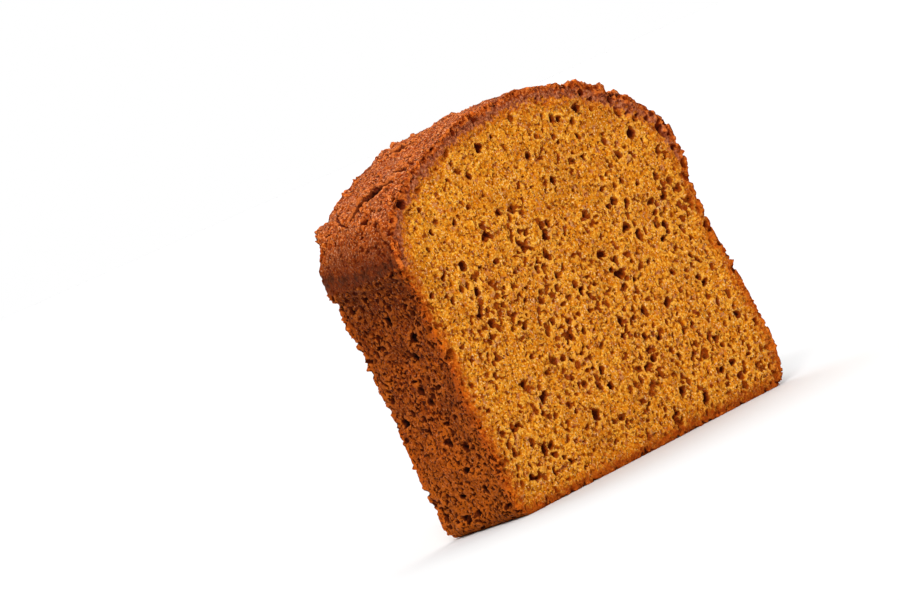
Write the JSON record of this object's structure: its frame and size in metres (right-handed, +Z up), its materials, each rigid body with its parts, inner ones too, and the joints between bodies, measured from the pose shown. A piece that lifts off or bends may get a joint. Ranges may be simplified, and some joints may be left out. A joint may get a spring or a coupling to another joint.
{
  "type": "honey cake slice",
  "caption": "Thick slice of amber honey loaf cake with an open, porous crumb, a domed top crust and straight side and bottom crusts.",
  "frame": {"origin": "middle of the bottom crust, under the centre of the slice's box", "axes": "+X across the loaf, +Y through the slice from the cut face that shows to the other one, +Z up from the bottom crust to the risen crown"},
  "size_m": [0.0984, 0.03, 0.0945],
  "materials": {
    "honey_cake": "matt baked crumb, golden amber and full of small pores, inside a red-brown crust with a faint honey sheen"
  },
  "bodies": {
    "root": {"cake_slice": "honey_cake"}
  },
  "joints": []
}
